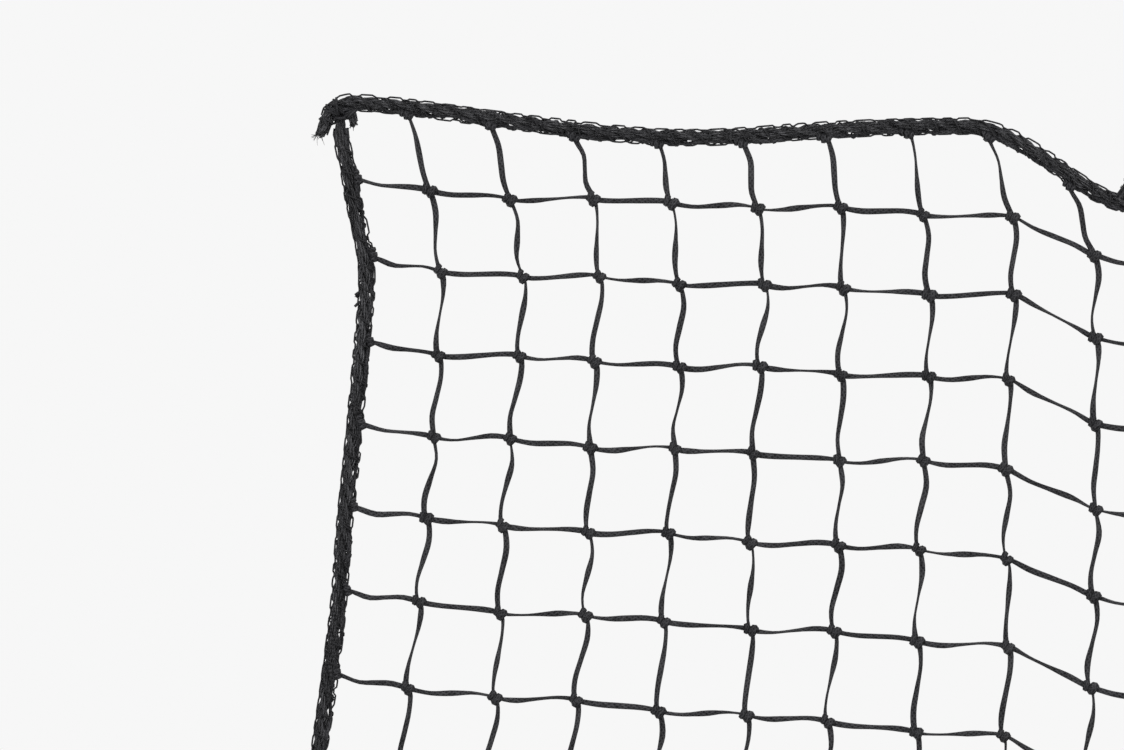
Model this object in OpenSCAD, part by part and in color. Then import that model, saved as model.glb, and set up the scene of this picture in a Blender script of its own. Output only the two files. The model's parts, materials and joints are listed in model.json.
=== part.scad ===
// Knotted cargo net with a roped and lashed border.
//
// The net hangs in the XZ plane and its front faces -Y. The origin is the centre of the top left
// corner knot, where the net is hung. Columns are counted from the left border and rows from the
// top border; a place such as [2.5, 1] is two and a half meshes to the right of the corner and
// one mesh below it. Heights inside the functions are drops, so they grow downwards.
//
// Netting bends anywhere. Here it bends at four straight fold lines, which part it into five
// bands: each band is one rigid panel, hinged to the one above it.

/* [Mesh] */
// Distance between neighbouring knots
mesh_pitch = 50; // [42:1:62]
// Number of meshes across
columns = 20; // [14:1:24]
// Number of meshes down
rows = 16; // [13:1:19]

/* [Twine] */
// Width of the flat braided twine
twine_width = 3.2; // [2:0.1:4.5]
// Thickness of the flat braided twine
twine_thickness = 2; // [1.4:0.1:3.2]

/* [Knots] */
// Length of a mesh knot along its slanted axis
knot_length = 10; // [8:0.1:12.5]
// Width of a mesh knot across its slanted axis
knot_width = 8.4; // [6.5:0.1:10.5]
// Depth of a mesh knot from front to back
knot_depth = 6.5; // [4.5:0.1:8.5]
// Diameter of the small hitch that ties a twine to the border rope
hitch_diameter = 5.4; // [4:0.1:7]

/* [Border rope] */
// Diameter of the border rope
rope_diameter = 9; // [7:0.1:11.5]
// Diameter of each corner knot
corner_diameter = 17; // [14.5:0.1:20.5]
// Thickness of the lashing thread
thread_size = 0.8; // [0.5:0.1:1.2]
// Lashing turns in each mesh
turns_per_mesh = 2; // [1:1:3]
// Length of the loose rope ends at the corners
tail_length = 12; // [6:1:18]
// Diameter of the loose rope ends
tail_diameter = 3.6; // [2.4:0.1:4.6]

/* [Fit] */
// Gap between pieces that touch
clearance = 0.3; // [0.2:0.05:0.4]

/* [Drape] */
// Place of the second hanging point, in meshes from the corner
second_hanger = 7.5; // [6:0.1:7.9]
// Drop of the net to the right of the second hanging point, in meshes
shoulder_drop = 0.58; // [0.3:0.02:0.66]
// Depth of the forward and backward waves of the netting
billow_depth = 5; // [0:0.5:7]

/* [Hidden] */
bands = 5;
columns_between = [1:columns - 1];
rows_between = [1:rows - 1];

rope_radius = rope_diameter / 2;
hitch_radius = hitch_diameter / 2;
corner_radius = corner_diameter / 2;
// A knot's outline stands about this far from its centre where the twines meet it
knot_reach = 0.317 * knot_length + 0.2 * knot_width;
rope_sides = 10;
rope_rings_per_mesh = 4;
long_rope_stretches = 5;
bend_radius = twine_width * 0.62;
corner_start = (corner_radius + clearance) / mesh_pitch;
// Nearest place of a lashing turn to a fold line
fold_margin = (rope_radius * 1.8) / mesh_pitch;

rope_colour = [0.15, 0.15, 0.17];
twine_colour = [0.17, 0.17, 0.19];
thread_colour = [0.11, 0.11, 0.12];

// ---- Drape: how the hung net leans, slopes and sags, all in meshes ----

// Sideways lean of the left border at each row
left_leans = [0, 0.07, 0.25, 0.2, 0.1, 0, -0.07, -0.2, -0.33, -0.4,
              -0.4, -0.35, -0.3, -0.22, -0.15, -0.1, -0.05, 0, 0, 0];
// Distance over which a border's lean fades into the net
lean_fade = 6;
// The net slopes to the right up to this column, and more gently past it
slope_end = 9;
gentle_slope = 0.05;
// The top border falls away past its second hanging point, and the rows below it follow
border_shoulder_drop = shoulder_drop + 0.32;
border_shoulder_width = 2.1;
shoulder_start = second_hanger + 0.4;
shoulder_width = 1.6;
shoulder_end = second_hanger + border_shoulder_width;
third_hanger = (shoulder_end + columns) / 2;
first_arch = 0.26;
later_arches = 0.18;
border_slope = 0.02;
// Columns leave the top rope a little to the left of their own knots
top_attachment_shift = -0.2;

function clamp(value, low, high) = min(max(value, low), high);
function smooth_step(t) = t * t * (3 - 2 * t);

// Smooth curve through a list of values that stand one apart
function curve_at(list, t) =
    let (last = len(list) - 1, i = clamp(floor(t), 0, last - 1), f = clamp(t - i, 0, 1),
         a = list[max(i - 1, 0)], b = list[i], c = list[i + 1], d = list[min(i + 2, last)])
    b + f * (c - a + f * (2 * a - 5 * b + 4 * c - d + f * (3 * (b - c) + d - a))) / 2;

function left_lean(t) = curve_at(left_leans, t);
function right_lean(t) = -0.3 * sin(180 * t / rows) + 0.08 * sin(360 * t / 5);

function slope(r) = 0.038 + 0.0009 * pow(min(r, 8), 2);
// Drop of row r at column u below its place in an unloaded net
function drop(u, r) =
    -0.05 + 0.1 * exp(1 - r) - 0.08 * exp(-2 * u) + slope(r) * min(u, slope_end)
    + gentle_slope * max(u - slope_end, 0)
    + shoulder_drop * smooth_step(clamp((u - shoulder_start) / shoulder_width, 0, 1));

// The top border sags between its hanging points
function arch(u, from, to) = pow(sin(180 * clamp((u - from) / (to - from), 0, 1)), 2);
function top_drop(u) =
    slope(0) * min(u, slope_end) + border_slope * max(u - slope_end, 0)
    + border_shoulder_drop * smooth_step(clamp((u - second_hanger) / border_shoulder_width, 0, 1))
    + first_arch * arch(u, 0, second_hanger)
    + later_arches * (arch(u, shoulder_end, third_hanger) + arch(u, third_hanger, columns));

// Small unevenness of hand-tied knots
function wobble(u, r, phase) = 0.03 * sin(137 * u + 71 * r + phase);

function knot_lean(u, r) =
    left_lean(r) * exp(-u / lean_fade) + right_lean(r) * exp((u - columns) / lean_fade)
    - 0.1 * sin(180 * clamp(u / slope_end, 0, 1));
function billow(u, r) =
    billow_depth * sin(50 * u + 20) * sin(45 * r) * min(u, columns - u, 2) / 2;

// ---- Borders: centre lines of the ropes, in millimetres in the XZ plane ----

function top_point(t) = mesh_pitch * [t, 0, -top_drop(t)];
function bottom_point(t) =
    mesh_pitch * [t + left_lean(rows) * (1 - t / columns) + right_lean(rows) * t / columns, 0,
                  -(rows + drop(t, rows))];
// Stretch of a side border, whose ends are the corners at top and bottom
function side_stretch(side) = 1 + (drop(side * columns, rows) - top_drop(side * columns)) / rows;
function side_point(side, t) =
    mesh_pitch * [side * columns + (side == 0 ? left_lean(t) : right_lean(t)), 0,
                  -(top_drop(side * columns) + t * side_stretch(side))];
// Place along a side border that lies at a given drop
function side_place(side, height) = (height - top_drop(side * columns)) / side_stretch(side);

// Borders are numbered 0 left, 1 right, 2 top, 3 bottom
function border_point(border, t) =
    border < 2 ? side_point(border, t) : border == 2 ? top_point(t) : bottom_point(t);
function border_length(border) = border < 2 ? rows : columns;
function unit(v) = v / norm(v);
function border_direction(border, t) =
    unit(border_point(border, t + 0.02) - border_point(border, t - 0.02));
// Direction from a border into the net
function border_inward(border, t) =
    cross([0, (border == 0 || border == 3) ? 1 : -1, 0], border_direction(border, t)) * -1;

// Places along each border where the twines are tied on
function attachment(border, i) =
    border < 2 ? side_place(border, i + drop(border * columns, i))
    : border == 2 ? i + top_attachment_shift : i;
function hitch_centre(border, i) =
    let (t = attachment(border, i))
    border_point(border, t) + border_inward(border, t) * (rope_radius + clearance + hitch_radius);

// ---- Knots of the net ----

function on_border(u, r) = u == 0 || u == columns || r == 0 || r == rows;
function net_point(u, r) =
    u == 0 ? hitch_centre(0, r) : u == columns ? hitch_centre(1, r)
    : r == 0 ? hitch_centre(2, u) : r == rows ? hitch_centre(3, u)
    : [mesh_pitch * (u + knot_lean(u, r) + wobble(u, r, 0)), billow(u, r),
       -mesh_pitch * (r + drop(u, r) + wobble(u, r, 90))];
function net_reach(u, r) = (on_border(u, r) ? hitch_radius : knot_reach) + clearance;

// ---- Fold lines ----

// The last row above fold line k
function fold_row(k) = 1 + round((k - 1) * (rows - 4) / 3);
function first_row(band) = band == 1 ? 1 : fold_row(band - 1) + 1;
function last_row(band) = band == bands ? rows - 1 : fold_row(band);
// Middle of the gap that fold line k runs through, at column u
function gap_middle(u, k) =
    fold_row(k) + 0.5 + (drop(u, fold_row(k)) + drop(u, fold_row(k) + 1)) / 2;
function gap_bulge(u, k) =
    gap_middle(u, k) - gap_middle(0, k) - (gap_middle(columns, k) - gap_middle(0, k)) * u / columns;
function gap_shift(k) =
    let (bulges = [for (u = [0:0.5:columns]) gap_bulge(u, k)]) (max(bulges) + min(bulges)) / 2;
// Places where fold line k crosses the left and right borders
function fold_place(side, k) = side_place(side, gap_middle(side * columns, k) + gap_shift(k));
function fold_end(side, k) = side_point(side, fold_place(side, k));
// Point where the twine of column u crosses fold line k
function fold_crossing(u, k) =
    let (above = net_point(u, fold_row(k)), below = net_point(u, fold_row(k) + 1),
         start = fold_end(0, k), line = fold_end(1, k) - start, twine = below - above,
         share = ((above[0] - start[0]) * twine[2] - (above[2] - start[2]) * twine[0])
                 / (line[0] * twine[2] - line[2] * twine[0]))
    [start[0] + share * line[0], 0, start[2] + share * line[2]];

// ---- Shapes ----

// Turns +Z to the way from a to b and keeps X in the plane of the net
function along(a, b) =
    let (way = unit(b - a), side = unit(cross([0, 1, 0], way)), front = cross(way, side))
    [[side[0], front[0], way[0], a[0]], [side[1], front[1], way[1], a[1]],
     [side[2], front[2], way[2], a[2]], [0, 0, 0, 1]];

// Straight length of twine from a to b, cut short at both ends
module twine(a, b, short_a, short_b) {
    multmatrix(along(a, b))
        translate([-twine_width / 2, -twine_thickness / 2, short_a])
            cube([twine_width, twine_thickness, norm(b - a) - short_a - short_b]);
}

// Roller on fold line k that a twine bends over
module bend(centre, k) {
    multmatrix(along(centre, centre + fold_end(1, k) - fold_end(0, k)))
        cylinder(r = bend_radius, h = twine_width, center = true, $fn = 8);
}

module knot(centre) {
    outline = [for (i = [0:7]) let (turn = 45 * i + 22.5, x = knot_length / 2 * cos(turn),
                                    z = knot_width / 2 * sin(turn))
               [(x + z) / sqrt(2), (z - x) / sqrt(2)]];
    translate(centre) rotate([90, 0, 0])
        linear_extrude(knot_depth, center = true) polygon(outline);
}

module hitch(centre) {
    translate(centre) rotate([90, 22.5, 0])
        cylinder(r = hitch_radius, h = hitch_diameter, center = true, $fn = 8);
}

// Rope that follows a border from one place to another
module rope(border, from, to) {
    rings = max(1, round((to - from) * rope_rings_per_mesh));
    points = [for (i = [0:rings]) let (t = from + (to - from) * i / rings,
                                       side = cross([0, 1, 0], border_direction(border, t)))
              for (j = [0:rope_sides - 1]) let (turn = 360 * j / rope_sides)
              border_point(border, t)
              + rope_radius * (cos(turn) * side + sin(turn) * [0, 1, 0])];
    walls = [for (i = [0:rings - 1], j = [0:rope_sides - 1])
             let (a = i * rope_sides + j, b = i * rope_sides + (j + 1) % rope_sides)
             each [[a, a + rope_sides, b], [b, a + rope_sides, b + rope_sides]]];
    ends = [[for (j = [0:rope_sides - 1]) j],
            [for (j = [0:rope_sides - 1]) (rings + 1) * rope_sides - 1 - j]];
    polyhedron(points, concat(ends, walls));
}

// One turn of lashing thread round a border rope
module lashing_turn(border, t) {
    inner = (rope_radius + clearance) / cos(22.5);
    outer = (rope_radius + clearance + thread_size) / cos(22.5);
    multmatrix(along(border_point(border, t), border_point(border, t) + border_direction(border, t)))
        rotate(22.5) linear_extrude(thread_size, center = true) difference() {
            circle(outer, $fn = 8);
            circle(inner, $fn = 8);
        }
}

// Turns of thread spread evenly between stops, so that none meets a hitch or a knot
module lashing(border, stops) {
    for (i = [0:len(stops) - 2])
        let (span = stops[i + 1] - stops[i], turns = round(span * turns_per_mesh))
            if (turns > 0)
                for (j = [0:turns - 1])
                    lashing_turn(border, stops[i] + span * (j + 0.5) / turns);
}

// ---- Pieces ----

module row_twine(r) {
    color(twine_colour)
        for (u = [0:columns - 1])
            twine(net_point(u, r), net_point(u + 1, r), net_reach(u, r), net_reach(u + 1, r));
}

module knots(band) {
    color(twine_colour) {
        for (r = [first_row(band):last_row(band)]) {
            for (u = columns_between) knot(net_point(u, r));
            for (border = [0, 1]) hitch(hitch_centre(border, r));
        }
        if (band == 1) for (u = columns_between) hitch(hitch_centre(2, u));
        if (band == bands) for (u = columns_between) hitch(hitch_centre(3, u));
    }
}

// Twine that comes down from row r to fold line k and ends in its bend
module twine_to_fold(u, k) {
    crossing = fold_crossing(u, k);
    twine(net_point(u, fold_row(k)), crossing, net_reach(u, fold_row(k)), 0);
    bend(crossing, k);
}

module twine_from_fold(u, k) {
    below = fold_row(k) + 1;
    twine(fold_crossing(u, k), net_point(u, below), bend_radius + clearance, net_reach(u, below));
}

module column_twines(band) {
    top = band == 1 ? 0 : first_row(band);
    bottom = band == bands ? rows : last_row(band);
    color(twine_colour)
        for (u = columns_between) {
            if (band > 1) twine_from_fold(u, band - 1);
            if (bottom > top)
                for (r = [top:bottom - 1])
                    twine(net_point(u, r), net_point(u, r + 1), net_reach(u, r), net_reach(u, r + 1));
            if (band < bands) twine_to_fold(u, band);
        }
}

// One stretch of the top or bottom rope. The stretches meet face to face; each is nearly straight,
// so that it collides as the rope does and fills none of the arc under it.
function stretch_end(stretch) =
    corner_start + (columns - 2 * corner_start) * stretch / long_rope_stretches;

module long_rope(border, stretch) {
    color(rope_colour) rope(border, stretch_end(stretch - 1), stretch_end(stretch));
}

// The stretch of a side border in one band
bend_gap = (rope_radius + clearance) / mesh_pitch;
function band_start(side, band) = band == 1 ? corner_start : fold_place(side, band - 1) + bend_gap;
function band_end(side, band) = band == bands ? rows - corner_start : fold_place(side, band) - bend_gap;

module side_rope(side, band) {
    color(rope_colour) {
        rope(side, band_start(side, band), band_end(side, band));
        if (band < bands) translate(fold_end(side, band)) sphere(rope_radius, $fn = 64);
    }
}

module long_lashing(border) {
    color(thread_colour)
        lashing(border, concat([2 * corner_start], [for (u = columns_between) attachment(border, u)],
                               [columns - 2 * corner_start]));
}

module side_lashing(side, band) {
    top = band == 1 ? 2 * corner_start : fold_place(side, band - 1) + fold_margin;
    bottom = band == bands ? rows - 2 * corner_start : fold_place(side, band) - fold_margin;
    color(thread_colour)
        lashing(side, concat([top], [for (r = [first_row(band):last_row(band)]) attachment(side, r)],
                             [bottom]));
}

// Corners are numbered 0 top left, 1 top right, 2 bottom left, 3 bottom right
function corner_point(corner) = side_point(corner % 2, corner < 2 ? 0 : rows);

module corner_knot(corner) {
    color(rope_colour)
        translate(corner_point(corner)) rotate([90, 22.5, 0])
            cylinder(r = corner_radius, h = rope_diameter + 2, center = true, $fn = 8);
}

// Two loose rope ends: one leaves the corner outwards, the other hangs inside it
module rope_tails(corner) {
    right = corner % 2;
    low = corner < 2 ? 0 : 1;
    turns = low == 0 ? [216, 313] : [144, 47];
    color(rope_colour)
        for (turn = turns)
            let (across = (right == 0 ? 1 : -1) * cos(turn), way = [across, 0, sin(turn)],
                 start = corner_point(corner) + way * (corner_radius + clearance))
                multmatrix(along(start, start + way))
                    cylinder(r = tail_diameter / 2, h = tail_length, $fn = 6);
}

// ---- Assembly ----

corner_names = ["top_left", "top_right", "bottom_left", "bottom_right"];
side_names = ["left", "right"];
long_names = ["top", "bottom"];
function row_name(r) = str("row_twine_", r < 10 ? "0" : "", r);

for (r = rows_between)
    row_twine(r);
for (band = [1:bands]) {
    knots(band);
    column_twines(band);
    for (side = [0, 1]) {
        side_rope(side, band);
        side_lashing(side, band);
    }
}
for (side = [0, 1]) {
    for (stretch = [1:long_rope_stretches])
        long_rope(side + 2, stretch);
    long_lashing(side + 2);
}
for (corner = [0:3]) {
    corner_knot(corner);
    rope_tails(corner);
}
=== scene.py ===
"""Looks of a knotted cargo net: braided twines, tied knots and a lashed border rope.

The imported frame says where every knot, hitch, rope and fold line is. The classes below read those
places and build the soft pieces over them. Lengths are in metres, +X runs to the right along the
top border, +Z is up and the front of the net faces -Y.
"""

import json
import logging
import math
from dataclasses import dataclass
from enum import Enum
from typing import Any, Iterable

import bpy
import numpy as np
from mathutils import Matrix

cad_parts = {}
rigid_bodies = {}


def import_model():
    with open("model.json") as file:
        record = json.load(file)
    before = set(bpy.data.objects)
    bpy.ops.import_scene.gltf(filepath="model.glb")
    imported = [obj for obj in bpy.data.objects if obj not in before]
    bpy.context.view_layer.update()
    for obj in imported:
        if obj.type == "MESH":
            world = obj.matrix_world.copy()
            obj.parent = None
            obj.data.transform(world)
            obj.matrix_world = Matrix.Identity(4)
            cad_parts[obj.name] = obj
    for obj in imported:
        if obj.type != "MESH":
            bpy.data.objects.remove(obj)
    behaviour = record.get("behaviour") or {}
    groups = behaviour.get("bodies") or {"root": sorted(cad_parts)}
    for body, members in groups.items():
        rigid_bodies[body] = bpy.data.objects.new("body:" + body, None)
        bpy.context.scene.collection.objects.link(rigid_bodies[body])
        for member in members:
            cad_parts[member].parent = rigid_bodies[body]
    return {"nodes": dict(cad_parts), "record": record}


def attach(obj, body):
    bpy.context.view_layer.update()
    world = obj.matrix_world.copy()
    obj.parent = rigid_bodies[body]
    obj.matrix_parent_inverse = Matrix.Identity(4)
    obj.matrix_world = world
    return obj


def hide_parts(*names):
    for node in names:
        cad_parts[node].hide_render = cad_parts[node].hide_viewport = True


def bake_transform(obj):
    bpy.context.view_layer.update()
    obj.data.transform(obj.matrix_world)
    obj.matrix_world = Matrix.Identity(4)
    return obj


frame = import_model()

LOG = logging.getLogger("net")
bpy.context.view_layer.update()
MM = 0.001
FRONT = np.array([0.0, 1.0, 0.0])
STRANDS = 3
YARNS = 4
KNOT_SIDES = 4
ROUND_SIDES = 5
STRAY_HEIGHT = -0.118
TUFT_PLACE = 0.4648
Value = Any


def placed(name: str, data: bpy.types.ID) -> bpy.types.Object:
    """Makes an object of some data and links it to the scene."""
    thing = bpy.data.objects.new(name, data)
    bpy.context.scene.collection.objects.link(thing)
    return thing


# ---- Node graphs -------------------------------------------------------------------------------


class Signal:
    """A node socket that takes part in arithmetic, which adds Math nodes to its graph."""

    def __init__(self, graph: "Graph", socket: bpy.types.NodeSocket) -> None:
        """Keeps the graph and the output socket."""
        self.graph = graph
        self.socket = socket

    def math(self, operation: str, *others: Value) -> "Signal":
        """Adds one Math node.

        Args:
            operation: the Math node's operation.
            others: the other operands, as numbers or signals.

        Returns:
            The node's result.
        """
        return self.graph.math(operation, self, *others)

    def __add__(self, other: Value) -> "Signal":
        """Sum."""
        return self.math("ADD", other)

    __radd__ = __add__

    def __sub__(self, other: Value) -> "Signal":
        """Difference."""
        return self.math("SUBTRACT", other)

    def __rsub__(self, other: Value) -> "Signal":
        """Difference with a number on the left."""
        return self.graph.math("SUBTRACT", other, self)

    def __mul__(self, other: Value) -> "Signal":
        """Product."""
        return self.math("MULTIPLY", other)

    __rmul__ = __mul__

    def __truediv__(self, other: Value) -> "Signal":
        """Quotient."""
        return self.math("DIVIDE", other)


class Graph:
    """A geometry or shader node tree under construction."""

    def __init__(self, tree: bpy.types.NodeTree) -> None:
        """Keeps the tree that the nodes go into."""
        self.tree = tree

    def node(self, kind: str, settings: dict[str, Value] | None = None,
             inputs: dict[int | str, Value] | None = None) -> bpy.types.Node:
        """Adds a node.

        Args:
            kind: the node's type name.
            settings: properties, set before the sockets are.
            inputs: numbers, signals or data for the sockets, by name or index.

        Returns:
            The new node.
        """
        node = self.tree.nodes.new(kind)
        for name, value in (settings or {}).items():
            setattr(node, name, value)
        for key, value in (inputs or {}).items():
            self._feed(node.inputs[key], value)
        return node

    def _feed(self, socket: bpy.types.NodeSocket, value: Value) -> None:
        """Links a signal to a socket, or sets the socket's own value."""
        if isinstance(value, Signal):
            self.tree.links.new(value.socket, socket)
        else:
            socket.default_value = value

    def out(self, kind: str, settings: dict[str, Value] | None = None,
            inputs: dict[int | str, Value] | None = None, output: int | str = 0) -> Signal:
        """Adds a node and returns one of its outputs as a signal."""
        return Signal(self, self.node(kind, settings, inputs).outputs[output])

    def math(self, operation: str, *values: Value) -> Signal:
        """Adds a Math node over numbers and signals."""
        return self.out("ShaderNodeMath", {"operation": operation}, dict(enumerate(values)))

    def vector(self, operation: str, *values: Value) -> Signal:
        """Adds a Vector Math node over vectors and signals."""
        return self.out("ShaderNodeVectorMath", {"operation": operation},
                        dict(enumerate(values)))

    def scaled(self, vector: Value, factor: Value) -> Signal:
        """A vector times a number."""
        return self.out("ShaderNodeVectorMath", {"operation": "SCALE"},
                        {"Vector": vector, "Scale": factor})


class ShapeTree(Graph):
    """A geometry node group with named inputs, which turns a path object into a plain mesh."""

    def __init__(self, name: str, sockets: dict[str, str]) -> None:
        """Makes the group.

        Args:
            name: the group's name.
            sockets: each named input and its socket type.
        """
        tree = bpy.data.node_groups.new(name, "GeometryNodeTree")
        super().__init__(tree)
        tree.interface.new_socket("Geometry", in_out="INPUT", socket_type="NodeSocketGeometry")
        for label, kind in sockets.items():
            tree.interface.new_socket(label, in_out="INPUT", socket_type=kind)
        tree.interface.new_socket("Geometry", in_out="OUTPUT", socket_type="NodeSocketGeometry")
        self.source = self.node("NodeGroupInput")

    def given(self, label: str) -> Signal:
        """One of the group's named inputs."""
        return Signal(self, self.source.outputs[label])

    def attribute(self, name: str, kind: str = "FLOAT") -> Signal:
        """A named attribute of the incoming points."""
        return self.out("GeometryNodeInputNamedAttribute", {"data_type": kind}, {"Name": name})

    def paths(self) -> Signal:
        """The curves along the edges of the incoming path object."""
        return self.out("GeometryNodeMeshToCurve", None, {"Mesh": self.given("Geometry")})

    def finish(self, geometry: Signal) -> None:
        """Realizes the instances, sets the material and closes the group."""
        real = self.out("GeometryNodeRealizeInstances", None, {"Geometry": geometry})
        smooth = self.out("GeometryNodeSetShadeSmooth", None, {"Geometry": real})
        dressed = self.out("GeometryNodeSetMaterial", None,
                           {"Geometry": smooth, "Material": self.given("Material")})
        sink = self.node("NodeGroupOutput")
        self.tree.links.new(dressed.socket, sink.inputs[0])

    def sweep(self, curve: Signal, width: Value, thickness: Value, sides: int) -> Signal:
        """Sweeps an oval along curves and writes the "strand" attribute.

        The attribute holds the cosine and sine of the angle round the strand, and the length
        along it, which a finish reads.

        Args:
            curve: the curves to follow; their points have the attributes "run", "swell" and
                "face", which is the direction that the oval's flat side faces.
            width: the oval's wide side.
            thickness: the oval's narrow side.
            sides: number of sides of the oval.

        Returns:
            The swept mesh.
        """
        faced = self.out("GeometryNodeSetCurveNormal", {"mode": "FREE"},
                         {"Curve": curve, "Normal": self.attribute("face", "FLOAT_VECTOR")})
        circle = self.out("GeometryNodeCurvePrimitiveCircle", {"mode": "RADIUS"},
                          {"Resolution": sides, "Radius": 1.0})
        capture = self.node("GeometryNodeCaptureAttribute", None, {"Geometry": circle})
        capture.capture_items.new("VECTOR", "round")
        self._feed(capture.inputs[1], self.out("GeometryNodeInputPosition"))
        scale = self.out("ShaderNodeCombineXYZ", None,
                         {0: thickness * 0.5, 1: width * 0.5, 2: 1.0})
        oval = self.out("GeometryNodeTransform", None,
                        {"Geometry": Signal(self, capture.outputs[0]), "Scale": scale})
        mesh = self.out("GeometryNodeCurveToMesh", None,
                        {"Curve": faced, "Profile Curve": oval,
                         "Scale": self.attribute("swell"), "Fill Caps": True})
        angle = self.node("ShaderNodeSeparateXYZ", None, {0: Signal(self, capture.outputs[1])})
        strand = self.out("ShaderNodeCombineXYZ", None,
                          {0: Signal(self, angle.outputs[0]), 1: Signal(self, angle.outputs[1]),
                           2: self.attribute("run")})
        return self.out("GeometryNodeStoreNamedAttribute",
                        {"data_type": "FLOAT_VECTOR", "domain": "POINT"},
                        {"Geometry": mesh, "Name": "strand", "Value": strand})

    def grow(self, name: str, source: bpy.types.Object,
             values: dict[str, Value]) -> bpy.types.Object:
        """Runs the group on an object and keeps the result as a plain mesh.

        Args:
            name: the new piece's name.
            source: the object whose mesh goes in; it is removed.
            values: a value for each named input.

        Returns:
            The new object, at the origin and without modifiers.
        """
        modifier = source.modifiers.new("shape", "NODES")
        modifier.node_group = self.tree
        for item in self.tree.interface.items_tree:
            if item.in_out == "INPUT" and item.name in values:
                modifier[item.identifier] = values[item.name]
        source.update_tag()
        depsgraph = bpy.context.evaluated_depsgraph_get()
        mesh = bpy.data.meshes.new_from_object(source.evaluated_get(depsgraph))
        mesh.name = name
        piece = placed(name, mesh)
        source.modifiers.remove(modifier)
        bpy.data.objects.remove(source)
        return piece


# ---- Paths -------------------------------------------------------------------------------------


def unit(vector: np.ndarray) -> np.ndarray:
    """A vector, or rows of vectors, at length one."""
    return vector / np.linalg.norm(vector, axis=-1, keepdims=True)


def smooth_path(points: Iterable[np.ndarray], step: float) -> np.ndarray:
    """Runs a smooth curve through points and samples it evenly.

    Args:
        points: the points to pass through.
        step: distance between samples.

    Returns:
        The samples, ends included.
    """
    p = np.asarray(list(points), float)
    padded = np.vstack([2 * p[0] - p[1], p, 2 * p[-1] - p[-2]])
    dense = []
    for a, b, c, d in zip(padded, padded[1:], padded[2:], padded[3:]):
        count = max(4, int(np.ceil(np.linalg.norm(c - b) / (step * 0.4))))
        f = np.linspace(0, 1, count, endpoint=False)[:, None]
        bend = 2 * a - 5 * b + 4 * c - d + f * (3 * (b - c) + d - a)
        dense.append(b + f * (c - a + f * bend) / 2)
    line = np.vstack([*dense, p[-1:]])
    along = np.concatenate([[0], np.cumsum(np.linalg.norm(np.diff(line, axis=0), axis=1))])
    even = np.linspace(0, along[-1], max(2, int(round(along[-1] / step)) + 1))
    return np.column_stack([np.interp(even, along, line[:, i]) for i in range(3)])


def lengths_along(path: np.ndarray) -> np.ndarray:
    """Distance of each point from the path's start, along the path."""
    return np.concatenate([[0], np.cumsum(np.linalg.norm(np.diff(path, axis=0), axis=1))])


@dataclass
class Line:
    """A path with values at its points.

    Attributes:
        points: the path.
        values: further values at each point, such as its swell.
        closed: whether the end joins the start.
    """

    points: np.ndarray
    values: dict[str, np.ndarray]
    closed: bool = False


def strand_line(points: np.ndarray, run: np.ndarray | None = None, swell: Value = 1.0,
                face: Value = FRONT, closed: bool = False) -> Line:
    """Makes a line with the values that a sweep needs.

    Args:
        points: the path.
        run: length along the strand; the path's own length if left out.
        swell: thickness at each point as a share of the usual one.
        face: the direction, at each point or overall, that the flat side faces.
        closed: whether the end joins the start.

    Returns:
        The line.
    """
    count = len(points)
    values = {"run": lengths_along(points) if run is None else run,
              "swell": np.broadcast_to(np.asarray(swell, float), (count,)).copy(),
              "face": np.broadcast_to(np.asarray(face, float), (count, 3)).copy()}
    return Line(points, values, closed)


def turned(twist: np.ndarray, aside: np.ndarray) -> np.ndarray:
    """Directions turned from the front towards another direction by angles."""
    return np.cos(twist)[:, None] * FRONT + np.sin(twist)[:, None] * aside


def path_object(lines: list[Line]) -> bpy.types.Object:
    """Makes an edge mesh of lines, for a shape tree to grow along.

    Args:
        lines: the lines; all carry the same values.

    Returns:
        An object whose points carry the lines' values as attributes.
    """
    vertices = np.vstack([line.points for line in lines])
    edges, start = [], 0
    for line in lines:
        count = len(line.points)
        edges += [(start + i, start + i + 1) for i in range(count - 1)]
        if line.closed:
            edges.append((start + count - 1, start))
        start += count
    mesh = bpy.data.meshes.new("path")
    mesh.from_pydata(vertices.tolist(), edges, [])
    for name in lines[0].values:
        data = np.concatenate([line.values[name] for line in lines]).astype(np.float32)
        kind = "FLOAT_VECTOR" if data.ndim == 2 else "FLOAT"
        attribute = mesh.attributes.new(name, kind, "POINT")
        attribute.data.foreach_set("vector" if data.ndim == 2 else "value", data.ravel())
    return placed("path", mesh)


# ---- Finishes ----------------------------------------------------------------------------------


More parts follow.
